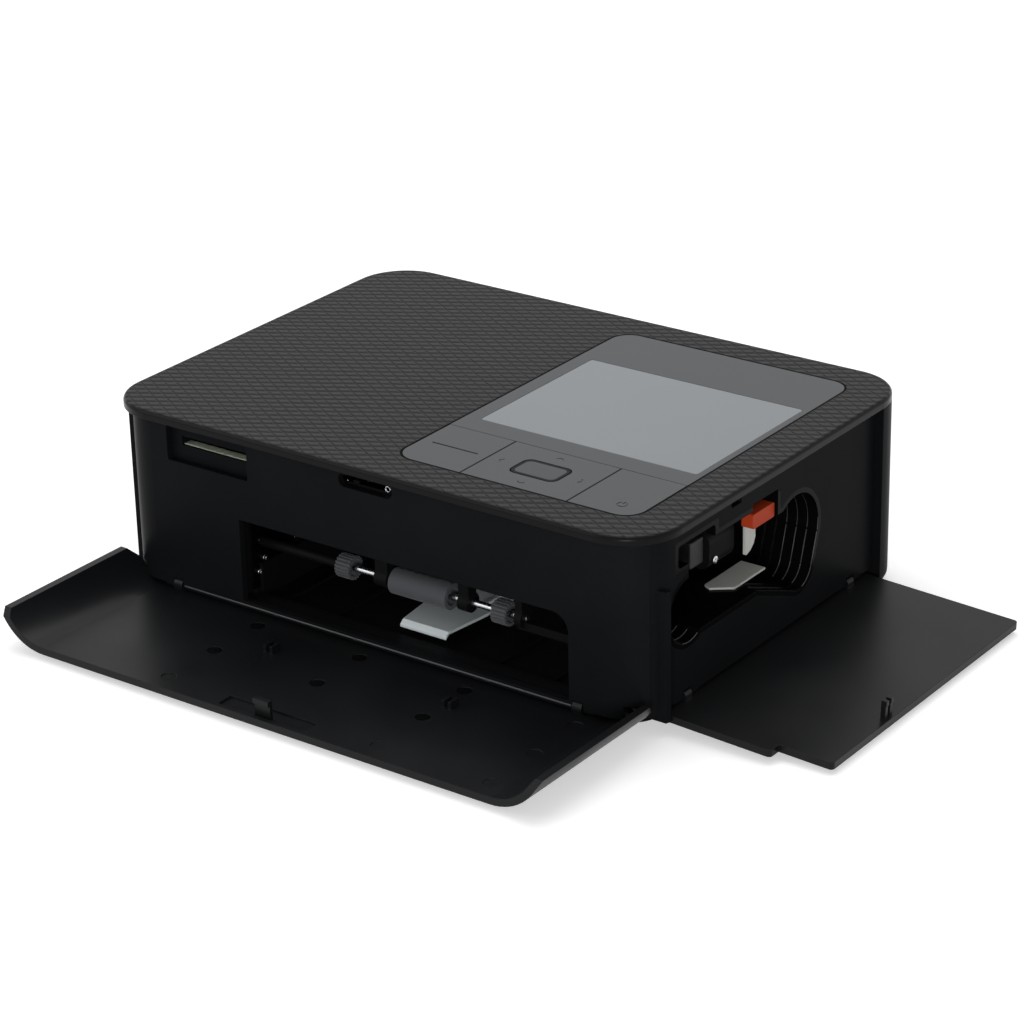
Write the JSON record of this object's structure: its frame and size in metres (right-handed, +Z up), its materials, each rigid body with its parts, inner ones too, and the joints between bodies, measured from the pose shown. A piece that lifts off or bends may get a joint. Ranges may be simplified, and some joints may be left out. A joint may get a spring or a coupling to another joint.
{
  "type": "compact photo printer",
  "caption": "Low boxy photo printer with a hinged front cover, a hinged side cover, a flush screen and keys, a paper path and a ribbon bay.",
  "frame": {"origin": "middle of the body's outline with both covers shut, on the surface the printer stands on", "axes": "+X to the right as seen from the front, +Y to the back, +Z up; both covers are open at rest"},
  "size_m": [0.2271, 0.1788, 0.0576],
  "materials": {
    "shell_plastic": "satin black ABS",
    "textured_plastic": "fine diamond texture, dark grey ABS",
    "panel_plastic": "smooth mid grey",
    "screen_face": "matt clear window over a switched-off display",
    "grey_plastic": "plain grey",
    "gloss_liner": "polished black",
    "rubber": "ground rubber",
    "steel": "bright steel",
    "motor_steel": "plated can",
    "aluminium": "extruded",
    "nylon": "natural acetal",
    "ceramic": "glazed head substrate",
    "orange_plastic": "orange-red lever",
    "circuit_board": "green solder mask"
  },
  "bodies": {
    "printer_body": {"top_cover": "textured_plastic", "main_case": "shell_plastic", "front_panel": "shell_plastic", "base_tray": "shell_plastic", "rubber_feet": "rubber", "case_screws": "steel", "control_panel": "panel_plastic", "display_window": "screen_face", "lcd_module": "steel", "key_board": "circuit_board", "front_hinge_pins": "steel", "side_hinge_pins": "steel", "left_frame_plate": "steel", "right_frame_plate": "steel", "gear_plate": "steel", "gear_axles": "steel", "cross_bars": "steel", "paper_guide": "shell_plastic", "ribbon_bay": "gloss_liner", "bay_strip": "nylon", "shaft_bearings": "shell_plastic", "pinch_holder": "shell_plastic", "feed_motor": "motor_steel", "head_shaft": "steel", "main_board": "circuit_board", "card_reader": "shell_plastic", "dc_inlet": "shell_plastic", "usb_port": "steel", "fan_frame": "shell_plastic"},
    "front_cover": {"front_cover": "shell_plastic"},
    "side_cover": {"side_cover": "shell_plastic"},
    "eject_lever": {"eject_lever": "orange_plastic", "latch_blade": "nylon"},
    "menu_back_key": {"menu_back_key": "panel_plastic"},
    "print_power_key": {"print_power_key": "panel_plastic"},
    "pad_gimbal": {"pad_gimbal": "grey_plastic"},
    "navigation_pad": {"navigation_pad": "panel_plastic"},
    "ok_button": {"ok_button": "panel_plastic"},
    "pickup_drive": {"pickup_shaft": "steel", "pickup_rollers": "rubber", "pickup_gear": "nylon"},
    "platen": {"platen_shaft": "steel", "platen_roller": "rubber", "platen_gear": "nylon"},
    "feed_drive": {"feed_roller": "steel", "feed_gear": "nylon"},
    "pinch_roller": {"pinch_roller": "steel"},
    "small_idler": {"small_idler_gear": "nylon"},
    "large_idler": {"large_idler_gear": "nylon"},
    "motor_pinion": {"motor_pinion": "steel"},
    "takeup": {"takeup_spindle": "nylon", "takeup_gear": "nylon"},
    "supply_spindle": {"supply_spindle": "nylon"},
    "print_head": {"head_arm": "steel", "heat_sink": "aluminium", "thermal_head": "ceramic", "head_end_cap": "gloss_liner"},
    "lift_plate": {"lift_plate": "steel"},
    "fan_rotor": {"fan_rotor": "shell_plastic"}
  },
  "joints": [
    {"name": "front_cover_hinge", "type": "hinge", "parent": "printer_body", "child": "front_cover", "pos_m": [0, -0.0628, 0.0054], "axis": [-1, 0, 0], "range_deg": [0, 90]},
    {"name": "side_cover_hinge", "type": "hinge", "parent": "printer_body", "child": "side_cover", "pos_m": [0.0879, -0.003, 0.0067], "axis": [0, -1, 0], "range_deg": [0, 92.5]},
    {"name": "eject_lever_pivot", "type": "hinge", "parent": "printer_body", "child": "eject_lever", "pos_m": [0.0706, -0.007, 0.0446], "axis": [0, -1, 0], "range_deg": [0, 8], "stiffness_Nm_per_rad": 0.02, "springref_deg": -5.73},
    {"name": "menu_back_rock", "type": "hinge", "parent": "printer_body", "child": "menu_back_key", "pos_m": [0.013, -0.041, 0.05525], "axis": [1, 0, 0], "range_deg": [-1.3, 1.3], "stiffness_Nm_per_rad": 0.25},
    {"name": "print_power_rock", "type": "hinge", "parent": "printer_body", "child": "print_power_key", "pos_m": [0.0682, -0.041, 0.05525], "axis": [1, 0, 0], "range_deg": [-1.3, 1.3], "stiffness_Nm_per_rad": 0.25},
    {"name": "pad_tilt_left_right", "type": "hinge", "parent": "printer_body", "child": "pad_gimbal", "pos_m": [0.041, -0.041, 0.0553], "axis": [0, 1, 0], "range_deg": [-1, 1], "stiffness_Nm_per_rad": 0.25},
    {"name": "pad_tilt_front_back", "type": "hinge", "parent": "pad_gimbal", "child": "navigation_pad", "pos_m": [0.041, -0.041, 0.0557], "axis": [1, 0, 0], "range_deg": [-1.3, 1.3], "stiffness_Nm_per_rad": 0.25},
    {"name": "ok_press", "type": "slide", "parent": "printer_body", "child": "ok_button", "axis": [0, 0, -1], "range_m": [0, 0.0005], "stiffness_N_per_m": 1500, "springref_m": -0.0001},
    {"name": "platen_spin", "type": "hinge", "parent": "printer_body", "child": "platen", "pos_m": [0.0105, -0.019, 0.017], "axis": [1, 0, 0], "continuous": true},
    {"name": "pickup_spin", "type": "hinge", "parent": "printer_body", "child": "pickup_drive", "pos_m": [-0.003, -0.0547, 0.0215], "axis": [1, 0, 0], "continuous": true},
    {"name": "feed_spin", "type": "hinge", "parent": "printer_body", "child": "feed_drive", "pos_m": [0.0105, 0.029, 0.0194], "axis": [1, 0, 0], "continuous": true},
    {"name": "pinch_spin", "type": "hinge", "parent": "printer_body", "child": "pinch_roller", "pos_m": [0.0105, 0.029, 0.02535], "axis": [1, 0, 0], "continuous": true},
    {"name": "small_idler_spin", "type": "hinge", "parent": "printer_body", "child": "small_idler", "pos_m": [-0.049, -0.039, 0.01676], "axis": [1, 0, 0], "continuous": true},
    {"name": "large_idler_spin", "type": "hinge", "parent": "printer_body", "child": "large_idler", "pos_m": [-0.049, 0.00682, 0.02251], "axis": [1, 0, 0], "continuous": true},
    {"name": "pinion_spin", "type": "hinge", "parent": "printer_body", "child": "motor_pinion", "pos_m": [-0.049, 0.02517, 0.03536], "axis": [1, 0, 0], "continuous": true},
    {"name": "takeup_spin", "type": "hinge", "parent": "printer_body", "child": "takeup", "pos_m": [-0.044, -0.04341, 0.03214], "axis": [1, 0, 0], "continuous": true},
    {"name": "supply_spin", "type": "hinge", "parent": "printer_body", "child": "supply_spindle", "pos_m": [-0.042, 0.009, 0.0325], "axis": [1, 0, 0], "continuous": true},
    {"name": "head_swing", "type": "hinge", "parent": "printer_body", "child": "print_head", "pos_m": [0.0105, 0.027, 0.0475], "axis": [1, 0, 0], "range_deg": [0, 10], "stiffness_Nm_per_rad": 0.1, "springref_deg": -28.65},
    {"name": "lift_plate_swing", "type": "hinge", "parent": "printer_body", "child": "lift_plate", "pos_m": [0.01045, -0.015, 0.0082], "axis": [-1, 0, 0], "range_deg": [0, 8]},
    {"name": "fan_spin", "type": "hinge", "parent": "printer_body", "child": "fan_rotor", "pos_m": [-0.062, 0.0596, 0.03], "axis": [0, 1, 0], "continuous": true}
  ],
  "couplings": [
    {"joint": "small_idler_spin", "follows": "platen_spin", "ratio": -0.92308},
    {"joint": "pickup_spin", "follows": "platen_spin", "ratio": 1.6},
    {"joint": "takeup_spin", "follows": "platen_spin", "ratio": 1.7143},
    {"joint": "large_idler_spin", "follows": "platen_spin", "ratio": -0.57143},
    {"joint": "feed_spin", "follows": "platen_spin", "ratio": 1.7143},
    {"joint": "pinion_spin", "follows": "platen_spin", "ratio": 1.7143},
    {"joint": "pinch_spin", "follows": "platen_spin", "ratio": -2.16}
  ]
}
